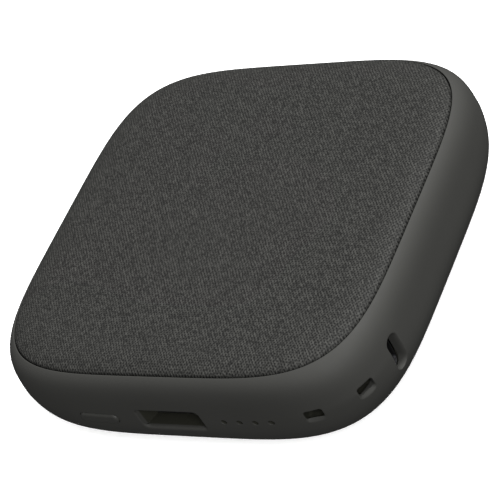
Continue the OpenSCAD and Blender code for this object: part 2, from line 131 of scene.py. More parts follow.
# Openings on the right and at the corner
USB_C_Y, USB_C_Z = centre_mm("usb_c_shell")[1:]
USB_C_MOUTH = (3.3, 8.4, 1.64)
USB_C_SLOPE_W = (0.2, 0.35)
USB_C_SLOPE_D = (0.2, 0.8)
USB_C_THROAT = (3.56, 9.24, 1.77)
USB_C_THROAT_X = 42.3
LANYARD_AXIS = (37, -39.8)
LANYARD_Z = 13.75
LANYARD_RING = 5.5
LANYARD_W = 3.6
LANYARD_H = 2.4
LANYARD_CORNER = 0.6
LANYARD_DROP = 0.8
LANYARD_WALL = 1.6
LANYARD_SLOPE = 0.15
LANYARD_SLOPE_LOW = (0.75, 0.4)
LANYARD_TAPER = 0.5
# Depths at the right mouth up to which the tunnel keeps its own tone, and from which painted shade
# darkens it
LANYARD_UNSHADED_DEPTH = 1.3
LANYARD_SHADE_DEPTH = 1.5
LANYARD_TURN = 0.9
LANYARD_TURNS = 13
LANYARD_REACH = (0.7, 2.6)

# Feet, posts and screws
FOOT_R = 3.6
FOOT_AT = box_mm("rubber_feet")[1][0] - FOOT_R
FOOT_T = box_mm("rubber_feet")[1][2]
FOOT_GAP = 0.05
FOOT_LIP = 0.15
FOOT_EDGE = 0.45
FOOT_DISH = [(0.4, 0.12), (1.8, 0.1), (2.4, 0.02)]
SEAT_Z = box_mm("case_screws")[0][2]
SEAT_T = 1.35
HEAD_R = 2.1
SHANK_R = 1.15
BOSS_R = 3.3
BOSS_Z = 6.95
BOARD_POSTS = [(-21.8, -21.8), (9, -36.5), (22.3, -30)]
BOARD_POST_R = 2.4
BOARD_POST_Z = box_mm("main_board")[0][2] - 0.05
BOARD_HOLE_R = 0.8
BOARD_HOLE_FLOOR = 0.6

# Depth behind a hole's lip about which the painted shade inside the hole sets in
SHADE_ONSET_DEPTH = 0.3

# Fineness of the meshes
COLUMNS = 560
ROW_STEP = 0.6
LIP_STEPS = 6
COLLAR = 0.2
FLAT_FROM = 13
ARC_STEPS = 10
CIRCLE_STEPS = 48
SPACING = 0.55


# ---------------------------------------------------------------- shape of the body
def norm(x, y, power):
    return (np.abs(x) ** power + np.abs(y) ** power) ** (1 / power)


def power_at(z):
    up = np.clip((z - MID_Z) / (TOP - MID_Z), 0, 1)
    down = np.clip((MID_Z - z) / (MID_Z - LIFT), 0, 1)
    return MID_POWER + (TOP_POWER - MID_POWER) * up + (BASE_POWER - MID_POWER) * down


def quarter(curve, count=900):
    """Shares across and along a quarter of a superellipse, from its steepest point."""
    a = np.linspace(0, math.pi / 2, count)
    return 1 - np.cos(a) ** (2 / curve), np.sin(a) ** (2 / curve)


def lower_profile(half, low):
    """Widths and heights from the flat bottom up to the widest level."""
    across, along = quarter(BASE_CURVE)
    widths = (half - BASE_ROUND * across)[::-1]
    heights = (MID_Z - (MID_Z - low) * along)[::-1]
    return np.append(FLAT_FROM, widths), np.append(low, heights)


def upper_profile(narrowest):
    """Widths and heights from the widest level up to where the body is narrowest wide."""
    across, along = quarter(TOP_CURVE)
    widths, heights = HALF - TOP_ROUND * across, MID_Z + (TOP - MID_Z) * along
    keep = widths > narrowest
    end = np.interp(-narrowest, -widths, heights)
    return np.append(widths[keep], narrowest), np.append(heights[keep], end)


def turn_table(count=7201):
    """Angles round the body and the distance to each along its widest outline."""
    angles = np.linspace(math.pi / 2, 2.5 * math.pi, count)
    reach = HALF / norm(np.cos(angles), np.sin(angles), MID_POWER)
    x, y = reach * np.cos(angles), reach * np.sin(angles)
    return angles, np.append(0, np.cumsum(np.hypot(np.diff(x), np.diff(y))))


TURN_ANGLES, TURN_LENGTHS = turn_table()
COLUMN_STEP = TURN_LENGTHS[-1] / COLUMNS
COLUMN_U = COLUMN_STEP * np.arange(COLUMNS)


def ring(width, z):
    """One closed row of points round the body."""
    angle = np.interp(COLUMN_U, TURN_LENGTHS, TURN_ANGLES)
    reach = width / norm(np.cos(angle), np.sin(angle), power_at(z))
    return np.column_stack([reach * np.cos(angle), reach * np.sin(angle), np.full(COLUMNS, z)])


class Wall:
    """A wall of the body: u runs round it and v up its profile, both in millimetres."""

    def __init__(self, widths, heights, dent=None):
        self.w, self.z, self.dent = widths, heights, dent
        self.v = np.append(0, np.cumsum(np.hypot(np.diff(widths), np.diff(heights))))
        self.low = int(np.argmax(heights >= MID_Z)) + 1

    def point(self, u, v):
        z, w = np.interp(v, self.v, self.z), np.interp(v, self.v, self.w)
        angle = np.interp(u, TURN_LENGTHS, TURN_ANGLES)
        reach = w / norm(np.cos(angle), np.sin(angle), power_at(z))
        if self.dent:
            reach = self.dent(reach, angle, z)
        return np.stack([reach * np.cos(angle), reach * np.sin(angle), z], axis=-1)

    def coords(self, p):
        x, y, z = p.T
        angle = math.pi / 2 + (np.arctan2(y, x) - math.pi / 2) % (2 * math.pi)
        u = np.interp(angle, TURN_ANGLES, TURN_LENGTHS)
        width = norm(x, y, power_at(z))
        by_width = np.interp(width, self.w[:self.low], self.v[:self.low])
        by_height = np.interp(z, self.z[1:], self.v[1:])
        return np.column_stack([u, np.where(z < MID_Z / 2, by_width, by_height)])

    def depth(self, across, z):
        """Distance from the middle plane to the wall, across to one side of it at height z."""
        w, power = np.interp(z, self.z[1:], self.w[1:]), power_at(z)
        return (w ** power - np.abs(across) ** power) ** (1 / power)

    def height(self, x, y):
        """Height of the lower half of the wall above the point x, y."""
        z = np.full(len(x), self.z[0])
        for _ in range(8):
            z = np.interp(norm(x, y, power_at(z)), self.w[:self.low], self.z[:self.low])
        return z

    def outside(self, p):
        x, y, z = p.T
        return norm(x, y, power_at(z)) > np.interp(z, self.z[1:], self.w[1:])


def lanyard_dent(reach, angle, z):
    """Moves the inner wall in round the lanyard tunnel, so that the tunnel has a wall of its own."""
    x, y = LANYARD_AXIS
    radius = LANYARD_RING + LANYARD_W / 2 + LANYARD_WALL
    towards = x * np.cos(angle) + y * np.sin(angle)
    under_root = radius ** 2 - x * x - y * y + towards ** 2
    near = towards - np.sqrt(np.maximum(under_root, 0))
    clear = LANYARD_H / 2 + LANYARD_WALL
    share = np.clip(2 - np.abs(z - LANYARD_Z) / clear, 0, 1)
    share = share * share * (3 - 2 * share)
    ahead = (under_root > 0) & (towards > 0)
    return reach - share * np.where(ahead, np.maximum(reach - near, 0), 0)


def outer_wall():
    low_w, low_z = lower_profile(HALF, LIFT)
    top_w, top_z = upper_profile(RIM_HALF + RIM_ROLL)
    return Wall(np.append(low_w, top_w[1:]), np.append(low_z, top_z[1:]))


def inner_wall():
    widths, heights = lower_profile(HALF - WALL, FLOOR_Z)
    shoulder_z = LEDGE_Z - LEDGE_T - LEDGE_SLOPE
    return Wall(
        np.append(widths, [HALF - WALL - LEDGE_SHOULDER, LEDGE_HALF]),
        np.append(heights, [shoulder_z, LEDGE_Z - LEDGE_T]),
        lanyard_dent,
    )


OUTER = outer_wall()
INNER = inner_wall()


# ---------------------------------------------------------------- outlines
def rounded(width, height, radius, across=1, up=1):
    """Points and outward normals of a rounded rectangle, anticlockwise from its right side."""
    points, normals = [], []
    x, y = width / 2 - radius, height / 2 - radius
    corners = [(x, y), (-x, y), (-x, -y), (x, -y)]
    for i, corner in enumerate(corners):
        start = i * math.pi / 2
        for k in range(ARC_STEPS + 1):
            a = start + k * math.pi / 2 / ARC_STEPS
            normals.append((math.cos(a), math.sin(a)))
            points.append((corner[0] + radius * normals[-1][0], corner[1] + radius * normals[-1][1]))
        following = corners[(i + 1) % 4]
        side = across if i % 2 == 0 else up
        end_normal = normals[-1]
        for k in range(1, side):
            share = k / side
            points.append((
                corner[0] + share * (following[0] - corner[0]) + radius * end_normal[0],
                corner[1] + share * (following[1] - corner[1]) + radius * end_normal[1],
            ))
            normals.append(end_normal)
    return np.array(points), np.array(normals)


def round_outline(count=CIRCLE_STEPS):
    a = np.linspace(0, 2 * math.pi, count, endpoint=False)
    return np.column_stack([np.cos(a), np.sin(a)])


def level_circle(x, y, radius, z, count=CIRCLE_STEPS):
    circle = round_outline(count)
    across, along = x + radius * circle[:, 0], y + radius * circle[:, 1]
    return np.column_stack([across, along, np.full(count, z)])


def lip_radius(normals, usual, lowest):
    """Radius of a lip round its outline: usual at the top and sides, lowest on the lower side."""
    down = np.clip(-normals[:, 1], 0, 1)
    return usual + (lowest - usual) * down ** 1.5


# ---------------------------------------------------------------- mesh building
class Mesh:
    """Points and faces; recess_shade marks where a point lies deep in a hole, whose colour gets
    painted shade.
    """

    def __init__(self):
        self.points, self.faces, self.recess_shade = [], [], []

    def add(self, points, recess_shade=0):
        start = len(self.points)
        self.points.extend(tuple(p) for p in points)
        self.recess_shade.extend([recess_shade] * len(points))
        return np.arange(start, len(self.points))

    def bridge(self, a, b):
        for i in range(len(a)):
            j = (i + 1) % len(a)
            self.faces.append((a[i], a[j], b[j], b[i]))

    def chain(self, loops, shade_from=None):
        """Joins loops of the same length one to the next, marked for painted shade from the loop of
        that number on;
        returns the ids of the first and last."""
        ids = [
            loop if loop.ndim == 1 else self.add(loop, float(shade_from is not None and i >= shade_from))
            for i, loop in enumerate(loops)
        ]
        for a, b in zip(ids, ids[1:]):
            self.bridge(a, b)
        return ids[0], ids[-1]

    def cap(self, loop):
        """Closes a loop with a fan about its middle."""
        middle = np.mean([self.points[i] for i in loop], axis=0)
        hub = self.add([middle])[0]
        for i in range(len(loop)):
            self.faces.append((loop[i], loop[(i + 1) % len(loop)], hub))

    def lathe(self, profile, x, y, count=CIRCLE_STEPS):
        """Turns a closed profile of radii and heights round an upright axis."""
        first, last = self.chain([level_circle(x, y, r, z, count) for r, z in profile])
        self.cap(first)
        self.cap(last)

    def build(self, name, material, sharp_deg=40):
        data = bpy.data.meshes.new(name)
        bm = bmesh.new()
        # The recess_shade layer marks the points that get painted shade
        layer = bm.verts.layers.float.new("recess_shade")
        verts = [bm.verts.new(Vector(p) * MM) for p in self.points]
        for vert, recess_shade in zip(verts, self.recess_shade):
            vert[layer] = recess_shade
        for face in self.faces:
            bm.faces.new([verts[i] for i in face])
        loose = [v for v in bm.verts if not v.link_faces]
        bmesh.ops.delete(bm, geom=loose, context="VERTS")
        bmesh.ops.recalc_face_normals(bm, faces=bm.faces)
        bm.to_mesh(data)
        bm.free()
        data.polygons.foreach_set("use_smooth", [True] * len(data.polygons))
        data.set_sharp_from_angle(angle=math.radians(sharp_deg))
        data.materials.append(material)
        piece = bpy.data.objects.new(name, data)
        bpy.context.scene.collection.objects.link(piece)
        return piece


def stand_in(piece, node, body):
    """The piece shows what the CAD node stands for."""
    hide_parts(node)
    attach(piece, body)


def inside(points, polygon):
    """Which points lie inside a closed polygon."""
    found = np.zeros(len(points), bool)
    for (x0, y0), (x1, y1) in zip(polygon, np.roll(polygon, -1, axis=0)):
        spans = (y0 > points[:, 1]) != (y1 > points[:, 1])
        rise = y1 - y0 if y1 != y0 else 1e-12
        found ^= spans & (points[:, 0] < x0 + (points[:, 1] - y0) * (x1 - x0) / rise)
    return found


def rows_of(wall):
    return np.linspace(0, wall.v[-1], round(wall.v[-1] / ROW_STEP) + 1)


def wall_mesh(mesh, wall, groups):
    """Covers a wall with quads, and with triangles round each group of holes. A hole is the
    ids of its loop. Returns the lowest and the highest row."""
    rows = rows_of(wall)
    row_step = rows[1]
    u, v = np.meshgrid(COLUMN_U, rows)
    grid = mesh.add(wall.point(u, v).reshape(-1, 3)).reshape(u.shape)
    covered = np.zeros((len(rows) - 1, COLUMNS), bool)
    for holes in groups:
        outlines = [wall.coords(np.array([mesh.points[i] for i in loop])) for loop in holes]
        low = np.min([o.min(0) for o in outlines], axis=0)
        high = np.max([o.max(0) for o in outlines], axis=0)
        left, right = int(low[0] / COLUMN_STEP) - 1, int(high[0] / COLUMN_STEP) + 2
        bottom = max(int(low[1] / row_step) - 1, 0)
        top = min(int(high[1] / row_step) + 2, len(rows) - 1)
        covered[bottom:top, left:right] = True
        window = grid[bottom:top + 1, left:right + 1]
        fill_window(mesh, window, left, rows[bottom:top + 1], holes, outlines)
    for j, i in zip(*np.nonzero(~covered)):
        k = (i + 1) % COLUMNS
        mesh.faces.append((grid[j, i], grid[j, k], grid[j + 1, k], grid[j + 1, i]))
    return grid[0], grid[-1]


def fill_window(mesh, grid, left, rows, holes, outlines):
    """Triangles between the edge of a window in the grid and the holes in it."""
    height, width = grid.shape
    u, v = np.meshgrid(COLUMN_STEP * (left + np.arange(width)), rows)
    edge = (
        [(0, i) for i in range(width - 1)]
        + [(j, width - 1) for j in range(height - 1)]
        + [(height - 1, i) for i in range(width - 1, 0, -1)]
        + [(j, 0) for j in range(height - 1, 0, -1)]
    )
    places = [np.array([(u[e], v[e]) for e in edge])] + outlines
    ids = [np.array([grid[e] for e in edge])] + [np.array(h) for h in holes]
    links, start = [], 0
    for loop in places:
        links += [(start + i, start + (i + 1) % len(loop)) for i in range(len(loop))]
        start += len(loop)
    within = np.column_stack([u[1:-1, 1:-1].ravel(), v[1:-1, 1:-1].ravel()])
    clear = np.ones(len(within), bool)
    for outline in outlines:
        apart = np.linalg.norm(within[:, None] - outline[None], axis=2).min(1)
        clear &= (apart > ROW_STEP * SPACING) & ~inside(within, outline)
    places.append(within[clear])
    ids.append(grid[1:-1, 1:-1].ravel()[clear])
    flat, ids = np.concatenate(places), np.concatenate(ids)
    result = delaunay_2d_cdt([Vector(p) for p in flat], links, [], 0, 1e-7)
    origin = [o[0] for o in result[3]]
    faces = np.array([[origin[i] for i in face] for face in result[2]])
    middles = flat[faces].mean(1)
    keep = np.ones(len(faces), bool)
    for outline in outlines:
        keep &= ~inside(middles, outline)
    mesh.faces.extend(tuple(ids[face]) for face in faces[keep])


# ---------------------------------------------------------------- openings of the shell
def front_place(x, z):
    """Puts a flat outline on the front wall, or some way in from it."""
    def place(outline, deep):
        across, up = x + outline[:, 0], z + outline[:, 1]
        return np.column_stack([across, -OUTER.depth(across, up) + deep, up])
    return place


def right_place(y, z):
    """Puts a flat outline on the right wall, or some way in from it."""
    def place(outline, deep):
        across, up = y + outline[:, 0], z + outline[:, 1]
        return np.column_stack([OUTER.depth(across, up) - deep, across, up])
    return place


def under_place(x, y, wall=OUTER):
    """Puts a flat outline on the underside of a wall, or some way up from it."""
    def place(outline, deep):
        across, along = x + outline[:, 0], y + outline[:, 1]
        return np.column_stack([across, along, wall.height(across, along) + deep])
    return place


def lanyard_place(side):
    """Puts an outline across the lanyard tunnel where it comes out of the wall; side is 1 at
    the front and -1 at the right."""
    inward = math.atan2(-LANYARD_AXIS[1], -LANYARD_AXIS[0])

    def at(outline, angle):
        reach = LANYARD_RING + outline[:, 0]
        return np.column_stack([
            LANYARD_AXIS[0] + reach * np.cos(angle),
            LANYARD_AXIS[1] + reach * np.sin(angle),
            LANYARD_Z + outline[:, 1],
        ])

    def place(outline, deep):
        near, far = (np.full(len(outline), inward + side * turn) for turn in LANYARD_REACH)
        for _ in range(40):
            middle = (near + far) / 2
            out = OUTER.outside(at(outline, middle))
            near, far = np.where(out, near, middle), np.where(out, middle, far)
        return at(outline, near - side * deep / LANYARD_RING)

    return place, at, inward


def lip(place, outline, normals, radius):
    """Loops that start on the wall and turn over a rounded lip into the hole."""
    loops = [place(outline + normals * (radius + COLLAR)[:, None], 0)]
    for a in np.linspace(0, math.pi / 2, LIP_STEPS + 1):
        out = radius * (1 - math.sin(a))
        loops.append(place(outline + normals * out[:, None], radius * (1 - math.cos(a))))
    return loops


def ramp(place, outline, normals, width, depth):
    """Loops that start on the wall and slope into the hole."""
    loops = [place(outline + normals * (width + COLLAR)[:, None], 0)]
    for share in (0, 0.15, 0.5, 1):
        loops.append(place(outline + normals * (width * (1 - share))[:, None], depth * share ** 1.3))
    return loops


def front_hole(mesh, x, z, outline, normals, radius):
    """A straight hole through the front wall, with rounded lips outside."""
    place = front_place(x, z)
    loops = lip(place, outline, normals, radius)
    loops.append(place(outline, radius.max() + SHADE_ONSET_DEPTH))
    across, up = x + outline[:, 0], z + outline[:, 1]
    loops.append(np.column_stack([across, -INNER.depth(across, up), up]))
    # The wall behind the lip is marked for painted shade
    return mesh.chain(loops, len(loops) - 2)


def usb_a_hole(mesh):
    """A mouth that narrows to the socket, in a frame that stands in from the inner wall."""
    mouth, normals = rounded(*USB_A_MOUTH, *SIDE_POINTS)
    sharp_mouth, _ = rounded(*USB_A_MOUTH[:2], USB_A_HOLE[2], *SIDE_POINTS)
    hole, _ = rounded(*USB_A_HOLE, *SIDE_POINTS)
    frame_edge, _ = rounded(*USB_A_FRAME, *SIDE_POINTS)
    place = front_place(0, USB_A_MOUTH_Z)
    loops = lip(place, mouth, normals, lip_radius(normals, *USB_A_LIP))
    start = place(sharp_mouth, USB_A_NARROWS_FROM)
    end = np.column_stack([hole[:, 0], np.full(len(hole), USB_A_IN_Y), USB_A_Z + hole[:, 1]])
    # Deep in the mouth the loops are marked for painted shade
    shade_starts = len(loops) + 1
    loops += [start + (end - start) * share for share in USB_A_NARROWING]
    across, up = frame_edge[:, 0], USB_A_Z + frame_edge[:, 1]
    loops.append(np.column_stack([across, np.full(len(across), USB_A_IN_Y), up]))
    loops.append(np.column_stack([across, -INNER.depth(across, up), up]))
    return mesh.chain(loops, shade_starts)


def button_hole(mesh):
    height = BUTTON_H + 2 * BUTTON_GAP
    outline, normals = rounded(BUTTON_W + 2 * BUTTON_GAP, height, height / 2, across=12)
    radius = np.full(len(outline), BUTTON_HOLE_LIP)
    return front_hole(mesh, BUTTON_X, BUTTON_Z, outline, normals, radius)


def light_hole(mesh, index):
    x = LIGHT_X + (index - (LIGHT_COUNT - 1) / 2) * LIGHT_PITCH
    normals = round_outline(32)
    radius = np.full(len(normals), LIGHT_LIP)
    return front_hole(mesh, x, LIGHT_Z, normals * LIGHT_R, normals, radius)


def usb_c_hole(mesh):
    """A mouth with sloped edges, and a wider throat for the socket behind it."""
    mouth, normals = rounded(*USB_C_MOUTH, up=10)
    throat, _ = rounded(*USB_C_THROAT, up=10)
    place = right_place(USB_C_Y, USB_C_Z)
    width, depth = (lip_radius(normals, *slope) for slope in (USB_C_SLOPE_W, USB_C_SLOPE_D))
    loops = ramp(place, mouth, normals, width, depth)
    loops.append(place(mouth, USB_C_SLOPE_D[1] + SHADE_ONSET_DEPTH))
    # The throat and the wall behind it are marked for painted shade
    shade_starts = len(loops) + 1
    for outline in (mouth, throat):
        across, up = USB_C_Y + outline[:, 0], USB_C_Z + outline[:, 1]
        loops.append(np.column_stack([np.full(len(across), USB_C_THROAT_X), across, up]))
    loops.append(np.column_stack([INNER.depth(across, up), across, up]))
    return mesh.chain(loops, shade_starts)


def lanyard_tunnel(mesh):
    """A curved tunnel round the corner, whose floor drops behind the front mouth. Returns the
    loops of its two mouths on the wall."""
    outline, normals = rounded(LANYARD_W, LANYARD_H, LANYARD_CORNER, across=4, up=3)
    hollow, _ = rounded(LANYARD_W, LANYARD_H + LANYARD_DROP, LANYARD_CORNER, across=4, up=3)
    hollow = hollow - (0, LANYARD_DROP / 2)
    taper = 1 - LANYARD_TAPER * (2 * outline[:, 0] / LANYARD_W) ** 2
    width, depth = (
        LANYARD_SLOPE + lip_radius(normals, 0, lowest) * taper for lowest in LANYARD_SLOPE_LOW
    )
    place_front, at, inward = lanyard_place(1)
    place_right, _, _ = lanyard_place(-1)
    first, front_edge = mesh.chain(ramp(place_front, outline, normals, width, depth))
    end = ramp(place_right, outline, normals, width, depth)
    last, right_edge = mesh.chain(end + [place_right(outline, LANYARD_UNSHADED_DEPTH)])
    turns = np.linspace(LANYARD_TURN, -LANYARD_TURN, LANYARD_TURNS)
    # The loops deep in the tunnel are marked for painted shade
    middle = [place_front(hollow, depth + 0.1)]
    middle += [at(hollow, inward + turn) for turn in turns]
    middle += [place_right(hollow, LANYARD_SHADE_DEPTH)]
    mesh.chain([front_edge] + [mesh.add(loop, 1) for loop in middle] + [right_edge])
    return first, last


def foot_hole(mesh, x, y):
    """The recess of a foot, the seat and bore of the screw under it, and the boss above."""
    normals = round_outline()
    recess_r, recess_z = FOOT_R + FOOT_GAP, FOOT_T + FOOT_GAP
    radius = np.full(len(normals), FOOT_LIP)
    loops = lip(under_place(x, y), normals * recess_r, normals, radius)
    steps = [
        (recess_r, recess_z), (HEAD_R, recess_z), (HEAD_R, SEAT_Z + SEAT_T),
        (SHANK_R, SEAT_Z + SEAT_T), (SHANK_R, BOSS_Z), (BOSS_R, BOSS_Z),
    ]
    loops += [level_circle(x, y, r, z) for r, z in steps]
    loops.append(under_place(x, y, INNER)(normals * BOSS_R, 0))
    return mesh.chain(loops)


def board_post(mesh, x, y):
    """A post for the main board, with a blind hole for its screw."""
    normals = round_outline()
    loops = [under_place(x, y, INNER)(normals * BOARD_POST_R, 0)]
    steps = [
        (BOARD_POST_R, BOARD_POST_Z), (BOARD_HOLE_R, BOARD_POST_Z),
        (BOARD_HOLE_R, FLOOR_Z + BOARD_HOLE_FLOOR),
    ]
    loops += [level_circle(x, y, r, z) for r, z in steps]
    first, last = mesh.chain(loops)
    mesh.cap(last)
    return first


def rolled_corner(start, corner, end, steps=6):
    """Widths and heights of a rounded corner between two points of a profile."""
    return [
        (1 - t) ** 2 * np.array(start) + 2 * (1 - t) * t * np.array(corner) + t * t * np.array(end)
        for t in np.linspace(0, 1, steps + 1)
    ]


def build_shell(material):
    mesh = Mesh()
    signs = [(sx, sy) for sx in (-1, 1) for sy in (-1, 1)]
    front = [usb_a_hole(mesh), button_hole(mesh)] + [light_hole(mesh, i) for i in range(LIGHT_COUNT)]
    side = usb_c_hole(mesh)
    lanyard_front, lanyard_right = lanyard_tunnel(mesh)
    feet = [foot_hole(mesh, sx * FOOT_AT, sy * FOOT_AT) for sx, sy in signs]
    posts = [board_post(mesh, x, y) for x, y in BOARD_POSTS]

    outside_groups = [[hole[0] for hole in front], [side[0]], [lanyard_front], [lanyard_right]]
    outside_groups += [[foot[0]] for foot in feet]
    bottom, top = wall_mesh(mesh, OUTER, outside_groups)
    mesh.cap(bottom)

    inside_groups = [[hole[1] for hole in front], [side[1]]]
    inside_groups += [[foot[1]] for foot in feet[:2]] + [[feet[3][1]]]
    inside_groups += [[posts[0]], [posts[1]], [posts[2], feet[2][1]]]
    floor, ledge = wall_mesh(mesh, INNER, inside_groups)
    mesh.cap(floor)

    rim_z = float(upper_profile(RIM_HALF)[1][-1])
    start = (OUTER.w[-1], OUTER.z[-1])
    rim = rolled_corner(start, (RIM_HALF, rim_z), (RIM_HALF, rim_z - RIM_ROLL))[1:]
    rim += [(RIM_HALF, LEDGE_Z), (LEDGE_HALF, LEDGE_Z)]
    mesh.chain([top] + [ring(w, z) for w, z in rim] + [ledge])
    piece = mesh.build("shell", material)
    stand_in(piece, "housing_shell", "body")
    return piece


# ---------------------------------------------------------------- fabric
def fabric_profile():
    """Widths and heights of the cloth from the middle of the top to the edge in the groove."""
    roll_from = FABRIC_HALF - FABRIC_ROLL
    edge_z, roll_z = (upper_profile(half)[1][-1] for half in (FABRIC_HALF, roll_from))
    across, along = quarter(TOP_CURVE)
    widths, heights = HALF - TOP_ROUND * across, MID_Z + (TOP - MID_Z) * along
    keep = widths < roll_from
    dome = np.column_stack([widths[keep], heights[keep]])[::-1]
    roll_end = (FABRIC_HALF, edge_z - FABRIC_ROLL)
    roll = rolled_corner((roll_from, roll_z), (FABRIC_HALF, edge_z), roll_end)
    return np.vstack([(0, TOP), dome, roll, (FABRIC_HALF, FABRIC_EDGE_Z)])


def cloth_grid(profile, cells):
    """Square grid of points over the dome: each square ring of it follows one outline."""
    lengths = np.append(0, np.cumsum(np.linalg.norm(np.diff(profile, axis=0), axis=1)))
    side = np.linspace(-1, 1, cells + 1)
    a, b = np.meshgrid(side, side)
    out = np.maximum(np.abs(a), np.abs(b)) * lengths[-1]
    w, z = np.interp(out, lengths, profile[:, 0]), np.interp(out, lengths, profile[:, 1])
    size = np.maximum(norm(a, b, power_at(z)), 1e-9)
    return np.stack([w * a / size, w * b / size, z], axis=-1)


def build_fabric(material, cells=CLOTH_CELLS):
    """The cloth as one sheet with an outer and an inner face, joined at its edge."""
    outer = fabric_profile()
    slope = np.gradient(outer, axis=0)
    slope /= np.linalg.norm(slope, axis=1)[:, None]
    inner = outer - FABRIC_T * np.column_stack([-slope[:, 1], slope[:, 0]])
    inner[0] = (0, TOP - FABRIC_T)
    mesh = Mesh()
    edges = []
    for profile in (outer, inner):
        grid = mesh.add(cloth_grid(profile, cells).reshape(-1, 3)).reshape(cells + 1, cells + 1)
        for j in range(cells):
            for i in range(cells):
                mesh.faces.append((grid[j, i], grid[j, i + 1], grid[j + 1, i + 1], grid[j + 1, i]))
        edges.append(np.concatenate([grid[0, :-1], grid[:-1, -1], grid[-1, :0:-1], grid[:0:-1, 0]]))
    mesh.bridge(*edges)
    piece = mesh.build("fabric", material, sharp_deg=60)
    stand_in(piece, "fabric_cover", "body")
    return piece


# ---------------------------------------------------------------- button and feet
def build_button(material):
    """A pill that follows the curve of the wall, with its flange and the post behind it."""
    low, high = box_mm("power_button")
    mesh = Mesh()
    outline, normals = rounded(BUTTON_W, BUTTON_H, BUTTON_H / 2 - 0.01, across=12)
    flange, _ = rounded(high[0] - low[0], BUTTON_H + FLANGE_MARGIN, FLANGE_CORNER, across=12)

    def face(inset, deep):
        across = BUTTON_X + outline[:, 0] - normals[:, 0] * inset
        up = BUTTON_Z + outline[:, 1] - normals[:, 1] * inset
        return np.column_stack([across, deep - OUTER.depth(across, up) - BUTTON_PROUD, up])

    loops = [
        face(inset, BUTTON_CROWN * (1 - inset / BUTTON_CROWN_FROM) ** 2)
        for inset in (BUTTON_CROWN_FROM, 1.15, 1, 0.85, 0.72)
    ]
    for a in np.linspace(0, math.pi / 2, LIP_STEPS + 1):
        deep = BUTTON_CROWN * 0.3 + BUTTON_LIP * (1 - math.cos(a))
        loops.append(face(BUTTON_LIP * (1 - math.sin(a)), deep))
    flange_front = -(HALF - WALL - FLANGE_IN)
    flange_back = flange_front + FLANGE_T

    def flat(shape, y, z=BUTTON_Z):
        return np.column_stack([BUTTON_X + shape[:, 0], np.full(len(shape), y), z + shape[:, 1]])

    post = normals * BUTTON_POST_R
    loops += [flat(outline, flange_front), flat(flange, flange_front), flat(flange, flange_back)]
    loops += [flat(post, flange_back, BUTTON_POST_Z), flat(post, high[1], BUTTON_POST_Z)]
    first, last = mesh.chain(loops)
    mesh.cap(first)
    mesh.cap(last)
    piece = mesh.build("button_cap", material)
    stand_in(piece, "power_button", "button")
    return piece


def build_feet(material):
    """Four round feet, slightly dished underneath and with a rounded edge."""
    mesh = Mesh()
    arc = [
        (FOOT_R - FOOT_EDGE + FOOT_EDGE * math.sin(a), FOOT_EDGE - FOOT_EDGE * math.cos(a))
        for a in np.linspace(0, math.pi / 2, LIP_STEPS + 1)
    ]
    for sx in (-1, 1):
        for sy in (-1, 1):
            mesh.lathe(FOOT_DISH + arc + [(FOOT_R, FOOT_T)], sx * FOOT_AT, sy * FOOT_AT, 64)
    piece = mesh.build("feet", material)
    stand_in(piece, "rubber_feet", "body")
    return piece


# ---------------------------------------------------------------- materials
class Finish:
    """A node material that ends in one Principled shader and is built by short calls."""

    def __init__(self, name, **values):
        self.material = bpy.data.materials.new(name)
        self.material.use_nodes = True
        self.tree = self.material.node_tree
        self.shader = self.tree.nodes["Principled BSDF"]
        for socket, value in values.items():
            self.shader.inputs[socket.replace("_", " ")].default_value = value
        self.at = self.node("TexCoord").outputs["Object"]

    def node(self, kind, inputs=(), **settings):
        made = self.tree.nodes.new("ShaderNode" + kind)
        for key, value in settings.items():
            setattr(made, key, value)
        for socket, value in dict(inputs).items():
            self.feed(made.inputs[socket], value)
        return made

    def feed(self, socket, value):
        if isinstance(value, bpy.types.NodeSocket):
            self.tree.links.new(value, socket)
        else:
            socket.default_value = value

    def set(self, socket, value):
        self.feed(self.shader.inputs[socket], value)

    def math(self, operation, *values):
        return self.node("Math", enumerate(values), operation=operation).outputs[0]

    def noise(self, scale, detail=2, stretch=None):
        """Noise with scale features a metre, drawn out along the axes where stretch is small."""
        place = self.at
        if stretch:
            place = self.node("Mapping", {"Vector": place, "Scale": stretch}).outputs[0]
        return self.node("TexNoise", {"Vector": place, "Scale": scale, "Detail": detail}).outputs[0]

    def span(self, value, low, high, start=0.25, end=0.75):
        """Takes value from start..end to low..high."""
        inputs = {"Value": value, "From Min": start, "From Max": end, "To Min": low, "To Max": high}
        return self.node("MapRange", inputs).outputs[0]

    def mix(self, amount, first, second):
        return self.node("Mix", {0: amount, 6: first, 7: second}, data_type="RGBA").outputs[2]

    def bump(self, height, depth, strength):
        inputs = {"Height": height, "Distance": depth, "Strength": strength}
        return self.node("Bump", inputs).outputs[0]


def grey(value, tint=(1, 1, 1)):
    return (value * tint[0], value * tint[1], value * tint[2], 1)


WARM = (1.0, 1.0, 0.92)
RECESS_SHADE_OLIVE = (1.0, 1.0, 0.72)


def moulded_plastic(name, tone, roughness=0.7, specular=0.18, tint=WARM, recess_shade=None):
    """Fine spark-eroded texture, faint flow marks and a slight change of polish. Where a recess_shade
    tone is given, points marked deep in the holes take that darker olive tone as painted shade."""
    f = Finish(name, Specular_IOR_Level=specular, IOR=1.5)
    flow = f.noise(60, 3)
    colour = f.mix(flow, grey(tone * 0.93, tint), grey(tone * 1.07, tint))
    if recess_shade:
        # Painted shade: a darker olive tone deep in the holes, where the mesh marks it
        recess_shade_mask = f.node("Attribute", attribute_name="recess_shade").outputs["Fac"]
        colour = f.mix(recess_shade_mask, colour, grey(recess_shade, RECESS_SHADE_OLIVE))
    f.set("Base Color", colour)
    grain = f.noise(5200, 2)
    f.set("Roughness", f.span(f.noise(300, 3), roughness - 0.04, roughness + 0.04))
    f.set("Normal", f.bump(grain, 0.00002, 0.35))
    return f.material


